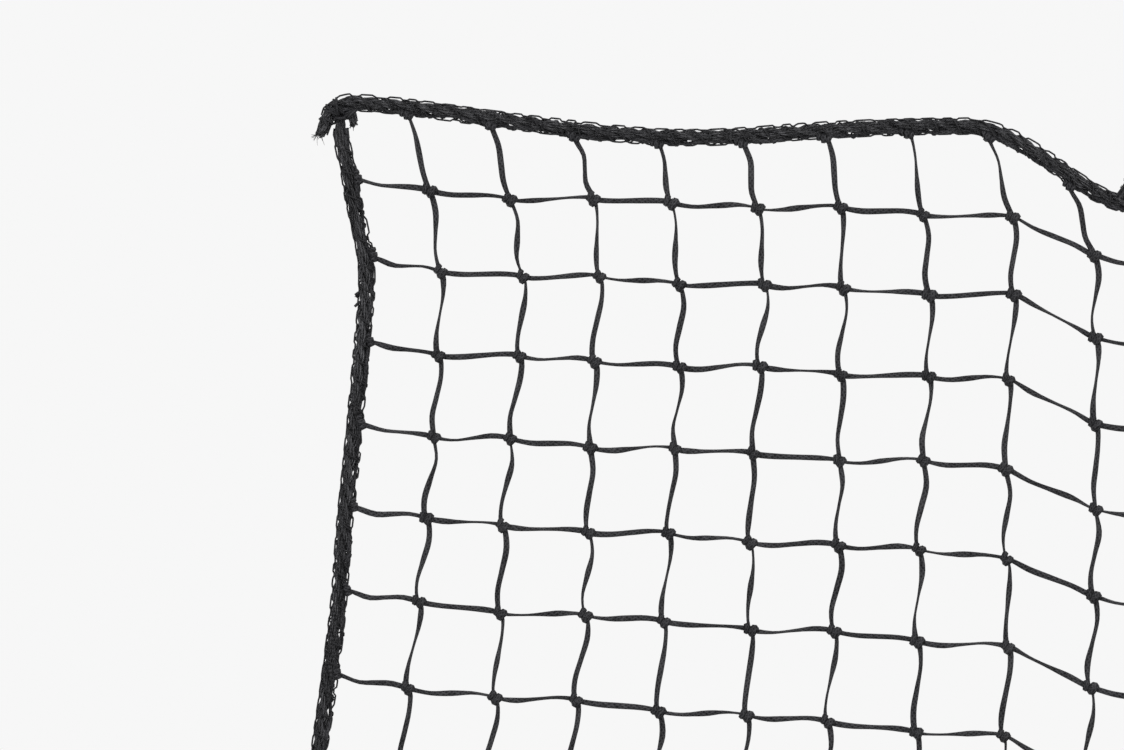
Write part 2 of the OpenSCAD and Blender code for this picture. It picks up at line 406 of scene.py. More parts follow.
class Shader(Graph):
    """A material's node tree with the usual surface shader."""

    def __init__(self, name: str) -> None:
        """Makes the material and its Principled shader."""
        self.material = bpy.data.materials.new(name)
        self.material.use_nodes = True
        super().__init__(self.material.node_tree)
        self.tree.nodes.clear()
        self.surface = self.node("ShaderNodeBsdfPrincipled")
        sink = self.node("ShaderNodeOutputMaterial")
        self.tree.links.new(self.surface.outputs[0], sink.inputs["Surface"])

    def set(self, **sockets: Value) -> None:
        """Feeds the surface's sockets; an underscore stands for a space."""
        for name, value in sockets.items():
            self._feed(self.surface.inputs[name.replace("_", " ")], value)

    def strand(self) -> tuple[Signal, Signal]:
        """The angle round a strand, and the length along it, from its "strand" attribute."""
        vector = self.out("ShaderNodeAttribute", {"attribute_name": "strand"}, None, "Vector")
        parts = self.node("ShaderNodeSeparateXYZ", None, {0: vector})
        x, y, run = (Signal(self, parts.outputs[i]) for i in range(3))
        return self.math("ARCTAN2", y, x), run

    def noise(self, scale: float, detail: float = 2.0) -> Signal:
        """Noise over object coordinates, from 0 to 1."""
        place = self.out("ShaderNodeTexCoord", output="Object")
        return self.out("ShaderNodeTexNoise", None,
                        {"Vector": place, "Scale": scale, "Detail": detail})

    def streaks(self, angle: Signal, run: Signal, around: float, along: float) -> Signal:
        """Noise drawn out along a strand, like single fibres, from 0 to 1.

        Args:
            angle: the angle round the strand.
            run: the length along it.
            around: fineness of the fibres round the strand.
            along: fineness along it, for each metre.

        Returns:
            The noise.
        """
        place = self.out("ShaderNodeTexCoord", output="Object")
        fibre = self.out("ShaderNodeCombineXYZ", None,
                         {0: angle.math("COSINE") * around, 1: angle.math("SINE") * around,
                          2: run * along})
        return self.out("ShaderNodeTexNoise", None,
                        {"Vector": self.vector("ADD", fibre, self.scaled(place, 160.0)),
                         "Scale": 1.0, "Detail": 2.0})

    def mixed(self, factor: Value, low: tuple, high: tuple) -> Signal:
        """A colour between two colours."""
        return self.out("ShaderNodeMix", {"data_type": "RGBA"},
                        {"Factor": factor, 6: (*low, 1.0), 7: (*high, 1.0)}, 2)

    def bump(self, height: Signal, distance: float) -> Signal:
        """A normal bent by a height between 0 and 1."""
        return self.out("ShaderNodeBump", None,
                        {"Height": height, "Distance": distance, "Strength": 1.0})

    def finish(self, glint: Signal, colours: tuple[tuple, tuple], roughness: Signal,
               specular: float, normal: Signal) -> bpy.types.Material:
        """Sets the surface of a strand.

        Args:
            glint: share of the pale colour, a painted highlight.
            colours: the dark own colour and the pale colour of the painted highlight.
            roughness: the surface's roughness.
            specular: strength of its shine.
            normal: its normal.

        Returns:
            The finished material.
        """
        # The base colour carries a painted highlight: the pale colour where glint is high.
        self.set(Base_Color=self.mixed(glint, *colours), Roughness=roughness,
                 Specular_IOR_Level=specular, Normal=normal)
        return self.material


@dataclass(frozen=True)
class BraidFinish:
    """Flat braided polyethylene twine, matt black, with highlights painted into its colour as pale
    glints on its plaits.

    Attributes:
        name: the material's name.
        pitch: length of one plait.
        plaits: plaits in one turn round the twine.
        depth: height of a plait.
        dark: the twine's own black, seen wherever no highlight is painted.
        pale: colour of the painted highlight on the plaits' crests and fibre streaks, with some
            tone that differs at random.
    """

    name: str = "braided_twine"
    pitch: float = 3.4 * MM
    plaits: int = 4
    depth: float = 0.32 * MM
    dark: tuple = (0.005, 0.005, 0.006)
    pale: tuple = (0.080, 0.080, 0.086)

    def material(self) -> bpy.types.Material:
        """Builds the material."""
        shader = Shader(self.name)
        angle, run = shader.strand()
        forward = (angle * self.plaits + run * (math.tau / self.pitch)).math("SINE")
        backward = (angle * self.plaits - run * (math.tau / self.pitch)).math("SINE")
        weave = forward.math("MAXIMUM", backward) * 0.5 + 0.5
        fibres = (angle * 3 * self.plaits + run * (2.2 * math.tau / self.pitch)).math("SINE")
        speckle = shader.noise(1400.0, 3.0)
        drift = shader.noise(22.0)
        height = weave + fibres * 0.12 + speckle * 0.3
        streaks = shader.streaks(angle, run, 3.0, 260.0)
        # Painted highlight: glint mixes the pale colour into the base colour on the plaits' crests
        # and fibre streaks; the drift noise adds tone that differs at random.
        glint = (weave * speckle * 0.8 + streaks * 1.3 + drift * 0.3 - 0.8).math("MAXIMUM", 0.0)
        return shader.finish(glint.math("MINIMUM", 1.0), (self.dark, self.pale),
                             0.72 - glint * 0.25, 0.13, shader.bump(height, self.depth))


@dataclass(frozen=True)
class LaidRopeFinish:
    """Twisted rope strands of coarse matt fibre.

    Attributes:
        name: the material's name.
        yarns: yarns seen in one turn round a strand.
        lay: length in which a yarn goes once round its strand.
        depth: height of a yarn.
        dark: the rope's own black, seen wherever no highlight is painted.
        pale: colour of the painted highlight on the yarns' crests and fibre streaks, with some
            random fuzz.
    """

    name: str = "laid_rope"
    yarns: int = 7
    lay: float = 17 * MM
    depth: float = 0.45 * MM
    dark: tuple = (0.005, 0.005, 0.006)
    pale: tuple = (0.270, 0.270, 0.285)

    def material(self) -> bpy.types.Material:
        """Builds the material."""
        shader = Shader(self.name)
        angle, run = shader.strand()
        yarn = ((angle - run * (math.tau / self.lay)) * self.yarns).math("SINE") * 0.5 + 0.5
        fibre = ((angle * 5 - run * (5.6 * math.tau / self.lay)) * self.yarns).math("SINE")
        speckle = shader.noise(1100.0, 3.0)
        fuzz = shader.noise(260.0, 4.0)
        streaks = shader.streaks(angle, run, 3.4, 170.0)
        height = yarn + fibre * 0.15 + speckle * 0.4 + streaks * 1.2 + fuzz * 0.4
        # Painted highlight: glint mixes the pale colour into the base colour on the yarns' crests
        # and fibre streaks; the fuzz noise adds random tone.
        glint = (yarn * speckle * 0.9 + streaks * 2.8 + fuzz * 0.5 - 1.76).math("MAXIMUM", 0.0)
        return shader.finish(glint.math("MINIMUM", 1.0), (self.dark, self.pale),
                             0.8 - glint * 0.25, 0.2, shader.bump(height, self.depth))


@dataclass(frozen=True)
class ThreadFinish:
    """Thin twisted lashing thread, a little smoother than the rope.

    Attributes:
        name: the material's name.
        twist: length of one twist of the thread.
        depth: height of a ply.
        dark: the thread's own black, seen wherever no highlight is painted.
        pale: colour of the painted highlight on the plies' crests.
    """

    name: str = "lashing_thread"
    twist: float = 1.6 * MM
    depth: float = 0.12 * MM
    dark: tuple = (0.005, 0.005, 0.006)
    pale: tuple = (0.032, 0.032, 0.035)

    def material(self) -> bpy.types.Material:
        """Builds the material."""
        shader = Shader(self.name)
        angle, run = shader.strand()
        ply = (angle * 2 + run * (math.tau / self.twist)).math("SINE") * 0.5 + 0.5
        speckle = shader.noise(900.0)
        # Painted highlight: glint mixes the pale colour into the base colour on the plies' crests.
        glint = ply * speckle
        return shader.finish(glint, (self.dark, self.pale), 0.65 - glint * 0.2, 0.25,
                             shader.bump(ply + speckle * 0.4, self.depth))


class Slot(Enum):
    """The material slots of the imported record."""

    TWINE = "twine"
    ROPE = "border_rope"
    THREAD = "lashing_thread"


class Wardrobe:
    """One material for each slot."""

    def __init__(self) -> None:
        """Builds the three materials."""
        self.materials = {Slot.TWINE: BraidFinish().material(),
                          Slot.ROPE: LaidRopeFinish().material(),
                          Slot.THREAD: ThreadFinish().material()}

    def __getitem__(self, slot: Slot) -> bpy.types.Material:
        """The material of a slot."""
        return self.materials[slot]


# ---- Layout read from the frame ----------------------------------------------------------------


class Side(Enum):
    """The four borders of the net."""

    LEFT = "left"
    RIGHT = "right"
    TOP = "top"
    BOTTOM = "bottom"


# Centre lines of the two rope ends at the top left corner, in millimetres from the corner: the long
# border's rope passes over the corner and ends outside it, the side border's ends inside it.
OVER_CORNER = ((-16.2, 0.2, -19.4), (-13.8, -0.8, -16.0), (-11.9, -1.3, -11.0), (-9.8, -1.4, -6.2),
               (-6.6, -1.2, -2.6), (-2.4, -1.0, -0.5), (2.6, -0.6, 0.6), (8.0, -0.2, 0.4))
UNDER_CORNER = ((4.2, 0.8, -14.2), (5.2, 0.0, -11.4), (4.6, -0.6, -8.0), (2.2, 0.8, -4.8),
                (-1.2, 2.4, -4.2), (-2.9, 2.6, -8.0), (-3.1, 1.4, -13.0))


@dataclass(frozen=True)
class Fold:
    """A fold line between two bands.

    Attributes:
        upper: body above the line.
        lower: body below it.
        point: a point on the line.
        down: direction from the line into the lower band.
    """

    upper: str
    lower: str
    point: np.ndarray
    down: np.ndarray


def corners_of(node: str) -> np.ndarray:
    """The distinct vertices of a CAD node."""
    mesh = frame["nodes"][node].data
    flat = np.zeros(len(mesh.vertices) * 3, np.float32)
    mesh.vertices.foreach_get("co", flat)
    return np.unique(np.round(flat.reshape(-1, 3).astype(float), 6), axis=0)


def groups_along(points: np.ndarray, axis: int, gap: float) -> list[np.ndarray]:
    """Splits points into groups that stand apart along an axis.

    Args:
        points: the points.
        axis: index of the axis.
        gap: smallest distance that separates two groups.

    Returns:
        The groups, in order along the axis.
    """
    ordered = points[np.argsort(points[:, axis])]
    cuts = np.where(np.diff(ordered[:, axis]) > gap)[0] + 1
    return np.split(ordered, cuts)


def middle(points: np.ndarray) -> np.ndarray:
    """Centre of the points' box."""
    return (points.min(axis=0) + points.max(axis=0)) / 2


class Layout:
    """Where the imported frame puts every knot, hitch, border and fold line.

    Attributes:
        bands: the bodies from top to bottom.
        band_rows: the rows of knots in each band.
        columns: number of meshes across.
        rows: number of meshes down.
        places: centre of each knot and hitch, by column and row.
        ropes: the CAD nodes of each border rope.
        borders: ring centres of each border rope.
        folds: the fold lines from top to bottom.
        corners: centre of each corner knot.
    """

    def __init__(self, record: dict) -> None:
        """Reads the record's bodies and joints, and measures the nodes."""
        behaviour = record["behaviour"]
        joints = behaviour["joints"]
        self.bands = [joints[0]["parent"]] + [joint["child"] for joint in joints]
        self.band_rows = [sorted(int(node.rsplit("_", 1)[1]) for node in behaviour["bodies"][band]
                                 if node.startswith("row_twine")) for band in self.bands]
        self.rows = max(max(rows) for rows in self.band_rows) + 1
        self.places: dict[tuple[int, int], np.ndarray] = {}
        for rows in self.band_rows:
            for row in rows:
                self._measure_row(row)
        self.columns = max(column for column, _ in self.places)
        for band, rows in enumerate(self.band_rows, 1):
            self._centre_band(band, rows)
        nodes = [node for band in self.bands for node in behaviour["bodies"][band]]
        self.ropes = {side: [node for node in nodes if node.startswith(f"{side.value}_rope_")]
                      for side in Side}
        self.borders = {side: self._rings(names, 0 if side in (Side.TOP, Side.BOTTOM) else 2)
                        for side, names in self.ropes.items()}
        self.folds = [self._fold(joint) for joint in joints]
        self.corners = {name: middle(corners_of(f"corner_knot_{name}"))
                        for name in ("top_left", "top_right", "bottom_left", "bottom_right")}

    def _measure_row(self, row: int) -> None:
        """Finds a row's knots, which lie between the ends of its twines."""
        ends = [middle(g) for g in groups_along(corners_of(f"row_twine_{row:02d}"), 0, 4 * MM)]
        inner = [(a + b) / 2 for a, b in zip(ends[1:-1:2], ends[2:-1:2])]
        reach = 3 * MM
        first = ends[0] + unit(ends[0] - ends[1]) * reach
        last = ends[-1] + unit(ends[-1] - ends[-2]) * reach
        for column, place in enumerate([first, *inner, last]):
            self.places[column, row] = place

    def _centre_band(self, band: int, rows: list[int]) -> None:
        """Centres a band's knots on their solids and finds its top or bottom hitches."""
        solids = corners_of(f"knots_{band}")
        loose = np.ones(len(solids), bool)
        near = 7.5 * MM
        for (column, row), place in list(self.places.items()):
            if row not in rows:
                continue
            mine = np.linalg.norm(solids - place, axis=1) < near
            loose &= ~mine
            self.places[column, row] = middle(solids[mine])
        edge = {1: 0, len(self.bands): self.rows}.get(band)
        if edge is not None:
            hitches = groups_along(solids[loose], 0, 15 * MM)
            for column, group in enumerate(hitches, 1):
                self.places[column, edge] = middle(group)

    @staticmethod
    def _rings(names: list[str], axis: int) -> np.ndarray:
        """Centres of a border rope's rings, from left to right or from top to bottom."""
        points = np.vstack([corners_of(name) for name in names])
        centres = np.array([middle(group) for group in groups_along(points, axis, 2 * MM)])
        return centres if axis == 0 else centres[::-1]

    def _fold(self, joint: dict) -> Fold:
        """Reads a fold line from its joint."""
        axis = unit(np.array(joint["axis"], float))
        down = unit(np.cross(FRONT, axis))
        down = down if down[2] < 0 else -down
        return Fold(joint["parent"], joint["child"], np.array(joint["pos_m"], float), down)

    def inward(self, side: Side, path: np.ndarray) -> np.ndarray:
        """Direction into the net at each point of a border's path."""
        towards = unit(np.cross(FRONT, unit(np.gradient(path, axis=0))))
        into = {Side.LEFT: (1, 0, 0), Side.RIGHT: (-1, 0, 0),
                Side.TOP: (0, 0, -1), Side.BOTTOM: (0, 0, 1)}[side]
        return towards * np.sign(np.median(towards @ np.array(into, float)))

    def band_at(self, place: np.ndarray) -> int:
        """The band in which a place lies."""
        return sum(bool((place - fold.point) @ fold.down > 0) for fold in self.folds)

    def slopes(self, places: list[np.ndarray]) -> np.ndarray:
        """Turn about the front direction that follows the line of some places."""
        line = np.gradient(np.array(places), axis=0)
        return -np.arctan2(line[:, 2], line[:, 0])

    @staticmethod
    def flips(corner: str) -> np.ndarray:
        """Signs that turn a shape of the top left corner into one of another corner."""
        return np.array([-1.0 if corner.endswith("right") else 1.0, 1.0,
                         -1.0 if corner.startswith("bottom") else 1.0])

    def at_corner(self, corner: str, shape: tuple | np.ndarray) -> np.ndarray:
        """Points of a shape, given in millimetres for the top left corner, at a corner."""
        return self.corners[corner] + np.array(shape) * MM * self.flips(corner)

    def middle_of_band(self, band: int) -> int:
        """The row at which a band's side pieces are parted."""
        rows = self.band_rows[band]
        return rows[len(rows) // 2]


# ---- Dressing ----------------------------------------------------------------------------------


@dataclass
class Rig:
    """Ties some finished pieces to the bodies, and hides the CAD nodes that pieces stand for.

    Attributes:
        layout: the net's layout.
        zone: half height of a stretch about a fold line; bend works out its ends, but nothing
            bends.
    """

    layout: Layout
    zone: float = 7 * MM

    def ride(self, piece: bpy.types.Object, band: int, slot: Slot, nodes: list[str]) -> None:
        """Makes a piece ride on one band and stand for CAD nodes."""
        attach(piece, self.layout.bands[band])
        self._finish(piece, slot, nodes)

    def bend(self, piece: bpy.types.Object, fold: int, slot: Slot, nodes: list[str]) -> None:
        """Bakes a piece's transform and hides the CAD nodes that it stands for; the piece rides on
        no band and does not bend.
        """
        line = self.layout.folds[fold]
        start = line.point - line.down * self.zone
        end = line.point + line.down * self.zone
        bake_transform(piece)
        self._finish(piece, slot, nodes)

    @staticmethod
    def _finish(piece: bpy.types.Object, slot: Slot, nodes: list[str]) -> None:
        """Hides the CAD nodes that a piece stands for, and reports the piece."""
        if nodes:
            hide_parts(*nodes)
        LOG.info("%s: %d faces, stands for %s", piece.name, len(piece.data.polygons), nodes)


# ---- Twines ------------------------------------------------------------------------------------


@dataclass
class TwineMaker:
    """Soft flat braided twines of the mesh.

    Attributes:
        layout: the net's layout.
        material: the twine's finish.
        width: wide side of the flat braid.
        thickness: narrow side of the flat braid.
        step: distance between the rings of a twine.
        sides: sides of the twine's oval.
        sag: how far an S-bend between two knots leaves the straight line.
        seed: start of the random draws.
    """

    layout: Layout
    material: bpy.types.Material
    width: float = 3.5 * MM
    thickness: float = 1.55 * MM
    step: float = 4.0 * MM
    sides: int = 8
    sag: float = 1.7 * MM
    seed: int = 11

    def __post_init__(self) -> None:
        """Builds the node group and starts the random draws."""
        self.random = np.random.default_rng(self.seed)
        self.trees = {sides: self._tree(sides) for sides in (KNOT_SIDES, ROUND_SIDES, self.sides)}

    @staticmethod
    def _tree(sides: int) -> ShapeTree:
        """A node group that sweeps a flat twine of some number of sides."""
        tree = ShapeTree(f"flat_twine_{sides}", {"Width": "NodeSocketFloat",
                                                 "Thickness": "NodeSocketFloat",
                                                 "Material": "NodeSocketMaterial"})
        width, thickness = tree.given("Width"), tree.given("Thickness")
        tree.finish(tree.sweep(tree.paths(), width, thickness, sides))
        return tree

    def grow(self, name: str, lines: list[Line], sides: int | None = None) -> bpy.types.Object:
        """Sweeps twines along lines."""
        return self.trees[sides or self.sides].grow(
            name, path_object(lines), {"Width": self.width, "Thickness": self.thickness,
                                       "Material": self.material})

    def line(self, points: list[np.ndarray], step: float | None = None) -> Line:
        """A twine through points, whose flat side turns slowly as it goes.

        Args:
            points: the points to pass through.
            step: distance between rings, if not the usual one.

        Returns:
            The line of the twine.
        """
        path = smooth_path(points, step or self.step)
        run = lengths_along(path)
        phase = self.random.uniform(0, math.tau, 3)
        twist = 0.85 * np.sin(run * 57 + phase[0]) + 0.6 * np.sin(run * 103 + phase[1])
        tangent = unit(np.gradient(path, axis=0))
        face = turned(twist, unit(np.cross(FRONT, tangent)))
        swell = 1 + 0.07 * np.sin(run * 140 + phase[2])
        return strand_line(path, run + self.random.uniform(0, 0.1), swell, face)

    def between(self, start: np.ndarray, end: np.ndarray, bow: np.ndarray) -> list[np.ndarray]:
        """Points of the S-bend between two places, without the places themselves.

        Args:
            start: where the twine comes from.
            end: where it goes to.
            bow: direction in which it first leaves the straight line, and its share of the sag.

        Returns:
            Three points along the bend.
        """
        size = self.sag * self.random.uniform(0.3, 1.3)
        depth = FRONT * self.random.uniform(-1, 1) * MM
        shape = [(0.24, 1.0), (0.52, 0.1), (0.78, -0.75)]
        return [start + (end - start) * share + bow * size * bend + depth * bend
                for share, bend in shape]

    def row_line(self, row: int) -> Line:
        """One row's twine: it leaves a knot low on the right and enters it high on the left."""
        layout = self.layout
        enter = np.array([-2.6, 0, 1.0]) * MM
        leave = np.array([2.8, 0, -0.7]) * MM
        down = np.array([0.0, 0.0, -0.6])
        first, last = layout.places[0, row], layout.places[layout.columns, row]
        points = [first + np.array([-4.2, 0.4, 2.4]) * MM, first + np.array([0.4, 0, 0.9]) * MM]
        for column in range(layout.columns):
            start, end = layout.places[column, row], layout.places[column + 1, row]
            knotted = column + 1 < layout.columns
            points += self.between(start + (leave if column else 0.6 * leave),
                                   end + (enter if knotted else 0 * enter), down)
            if knotted:
                points += [end + enter, end + leave]
        points += [last, last + np.array([4.2, 0.4, 1.2]) * MM]
        return self.line(points)

    def column_line(self, column: int, first: int, last: int) -> Line:
        """One column's twine from one row to another."""
        layout = self.layout
        right = np.array([1.0, 0.0, 0.0])
        enter = np.array([-1.2, 0.3, 2.8]) * MM
        leave = np.array([1.4, 0.3, -2.8]) * MM
        points = [layout.places[column, first]]
        if first == 0:
            points.insert(0, points[0] + np.array([-1.5, 0.3, 4.0]) * MM)
        for row in range(first, last):
            start, end = layout.places[column, row], layout.places[column, row + 1]
            whole = row + 1 < layout.rows
            points += self.between(start + (leave if row else 0 * leave),
                                   end + (enter if whole else 0 * enter), right)
            if row + 1 < last:
                points += [end + enter, end + leave]
        points.append(layout.places[column, last])
        if last == layout.rows:
            points.append(points[-1] + np.array([0.8, 0.3, -4.0]) * MM)
        return self.line(points, self.step * 0.8)

    def build(self, rig: Rig) -> None:
        """Makes the rows of each band and the columns across each fold line."""
        layout = self.layout
        for band, rows in enumerate(layout.band_rows):
            lines = [self.row_line(row) for row in rows]
            piece = self.grow(f"row_twines_{layout.bands[band]}", lines)
            rig.ride(piece, band, Slot.TWINE, [f"row_twine_{row:02d}" for row in rows])
        last_fold = len(layout.folds) - 1
        for fold in range(len(layout.folds)):
            first = 0 if fold == 0 else layout.middle_of_band(fold)
            last = layout.rows if fold == last_fold else layout.middle_of_band(fold + 1)
            lines = [self.column_line(column, first, last) for column in range(1, layout.columns)]
            nodes = [f"column_twines_{fold + 1}"]
            if fold == last_fold:
                nodes.append(f"column_twines_{fold + 2}")
            rig.bend(self.grow(f"column_twines_fold_{fold + 1}", lines), fold, Slot.TWINE, nodes)


# ---- Knots -------------------------------------------------------------------------------------


def wrap(centre: tuple, axis: tuple, across: float, deep: float, swell: float = 1.0,
         count: int = 6) -> Line:
    """A closed turn of flat twine about an axis in the plane of the net.

    Args:
        centre: middle of the turn, in millimetres.
        axis: direction that the turn goes round.
        across: half size of the turn in the plane of the net, in millimetres.
        deep: half size of the turn from front to back, in millimetres.
        swell: width of the twine as a share of the usual one.
        count: number of corners of the turn.

    Returns:
        The line of the turn.
    """
    side = unit(np.cross(FRONT, unit(np.array(axis, float))))
    angle = np.arange(count) * math.tau / count + 0.3
    outward = np.outer(np.cos(angle), side) + np.outer(np.sin(angle), FRONT)
    path = (np.array(centre) + np.outer(np.cos(angle) * across, side)
            + np.outer(np.sin(angle) * deep, FRONT)) * MM
    return strand_line(path, swell=swell, face=outward, closed=True)


@dataclass
class KnotMaker:
    """Tied mesh knots, and the hitches that tie the mesh to its border rope.

    Attributes:
        twines: maker of the twine that the knots are tied in.
        variants: how many differently pulled knots there are.
        seed: start of the random draws.
    """

    twines: TwineMaker
    variants: int = 4
    seed: int = 23

    def __post_init__(self) -> None:
        """Builds the node group that sets knots on points."""
        self.random = np.random.default_rng(self.seed)
        sockets = {f"Knot {i}": "NodeSocketObject" for i in range(self.variants)}
        self.tree = ShapeTree("tied_knots", {**sockets, "Seed": "NodeSocketInt",
                                             "Material": "NodeSocketMaterial"})
        tree = self.tree
        points = tree.out("GeometryNodeMeshToPoints", None, {"Mesh": tree.given("Geometry")})
        gather = tree.node("GeometryNodeJoinGeometry")
        for i in reversed(range(self.variants)):
            knot = tree.out("GeometryNodeObjectInfo", None,
                            {"Object": tree.given(f"Knot {i}"), "As Instance": True}, "Geometry")
            tree.tree.links.new(knot.socket, gather.inputs[0])
        pick = tree.out("FunctionNodeRandomValue", {"data_type": "INT"},
                        {4: 0, 5: self.variants - 1, "Seed": tree.given("Seed")}, 2)
        size = tree.out("FunctionNodeRandomValue", {"data_type": "FLOAT"},
                        {2: 0.93, 3: 1.07, "Seed": tree.given("Seed")}, 1)
        turn = tree.out("ShaderNodeCombineXYZ", None, {1: tree.attribute("turn")})
        rotation = tree.out("FunctionNodeEulerToRotation", None, {"Euler": turn})
        tree.finish(tree.out("GeometryNodeInstanceOnPoints", None,
                             {"Points": points, "Instance": Signal(tree, gather.outputs[0]),
                              "Pick Instance": True, "Instance Index": pick, "Rotation": rotation,
                              "Scale": tree.out("ShaderNodeCombineXYZ", None,
                                                {0: size, 1: size, 2: size})}))

    def mesh_knot(self, index: int) -> bpy.types.Object:
        """One sheet bend: a large and a small turn round the slanted twines, and a front tuck."""
        w = self.random.uniform(-0.4, 0.4, 8)
        tuck = np.array([(-1.7, -0.6, -1.9), (-0.8, -2.5 + w[0] * 0.5, -1.1),
                         (0.8, -3.0, 0.2 + w[1]), (2.1, -0.8, 1.5)]) * MM
        lines = [wrap((1.2 + w[2], 0, -0.9), (0.78, 0, -0.62 + w[3] * 0.4), 3.3, 2.8, 1.3),
                 wrap((-2.1, 0, 1.3 + w[4] * 0.5), (0.9, 0, -0.43 + w[5]), 2.9, 2.4, 1.0),
                 strand_line(tuck, swell=1.0, face=(0.25, -1.0, 0.3))]
        return self.twines.grow(f"knot_pattern_{index}", lines, KNOT_SIDES)

    def hitch_knot(self, index: int, way: float, size: float) -> bpy.types.Object:
        """One edge hitch, a lump of turns beside a border rope.

        Args:
            index: number of the pattern.
            way: side to which the lump lies, along the rope: -1 or 1 along local X.
            size: size of the lump as a share of the largest.

        Returns:
            The hitch, whose own upward side faces the rope.
        """
        w = self.random.uniform(-0.35, 0.35, 6)
        lines = [wrap((way * 0.2, -0.2, 2.4), (0.9, 0, way * 0.4), 2.2 * size, 2.6, 0.95),
                 wrap((way * (2.9 + w[0]), 0, 3.1), (1, 0, w[1]), 2.5 * size, 3.0 + w[2], 1.1),
                 wrap((way * (5.9 + w[3]), 0.2, 4.0), (1, 0, 0.3 + w[4]), 2.0 * size, 2.4, 0.9)]
        return self.twines.grow(f"hitch_pattern_{index}", lines, ROUND_SIDES)

    def set_on(self, name: str, patterns: list[bpy.types.Object], places: list[np.ndarray],
               turns: list[float], seed: int) -> bpy.types.Object:
        """Sets knots on places.

        Args:
            name: the piece's name.
            patterns: the knots to choose from.
            places: where the knots go.
            turns: turn of each knot about the net's front direction.
            seed: seed of the choice among the patterns.

        Returns:
            The knots as one plain mesh.
        """
        source = path_object([Line(np.array(places), {"turn": np.array(turns)})])
        values = {f"Knot {i}": pattern for i, pattern in enumerate(patterns)}
        values |= {"Seed": seed, "Material": self.twines.material}
        return self.tree.grow(name, source, values)

    def build(self, rig: Rig) -> None:
        """Makes the knots and the hitches of each band."""
        layout = self.twines.layout
        knots = [self.mesh_knot(i) for i in range(self.variants)]
        long_hitches = [self.hitch_knot(i, -1, 1.0) for i in range(self.variants)]
        side_hitches = {side: [self.hitch_knot(i + first, way, 0.8) for i in range(self.variants)]
                        for side, first, way in ((Side.LEFT, 10, 1), (Side.RIGHT, 20, -1))}
        for band, rows in enumerate(layout.band_rows):
            node = [f"knots_{band + 1}"]
            inner = [(column, row) for row in rows for column in range(1, layout.columns)]
            piece = self.set_on(f"mesh_knots_{layout.bands[band]}", knots,
                                [layout.places[key] for key in inner],
                                list(self.random.uniform(-0.25, 0.25, len(inner))), band)
            rig.ride(piece, band, Slot.TWINE, node)
            for side, column, turn in ((Side.LEFT, 0, -math.pi / 2),
                                       (Side.RIGHT, layout.columns, math.pi / 2)):
                places = [layout.places[column, row] for row in rows]
                turns = list(turn + self.random.uniform(-0.15, 0.15, len(rows)))
                piece = self.set_on(f"{side.value}_hitches_{layout.bands[band]}",
                                    side_hitches[side], places, turns, 40 + band)
                rig.ride(piece, band, Slot.TWINE, node)
        last_band = len(layout.bands) - 1
        for side, band, row, turn in ((Side.TOP, 0, 0, 0.0),
                                      (Side.BOTTOM, last_band, layout.rows, math.pi)):
            places = [layout.places[column, row] for column in range(1, layout.columns)]
            turns = turn + self.random.uniform(-0.1, 0.1, len(places)) + layout.slopes(places)
            piece = self.set_on(f"{side.value}_hitches", long_hitches, places, list(turns), 90)
            rig.ride(piece, band, Slot.TWINE, [f"knots_{band + 1}"])
        for pattern in knots + long_hitches + side_hitches[Side.LEFT] + side_hitches[Side.RIGHT]:
            bpy.data.objects.remove(pattern)


# ---- Border ropes ------------------------------------------------------------------------------


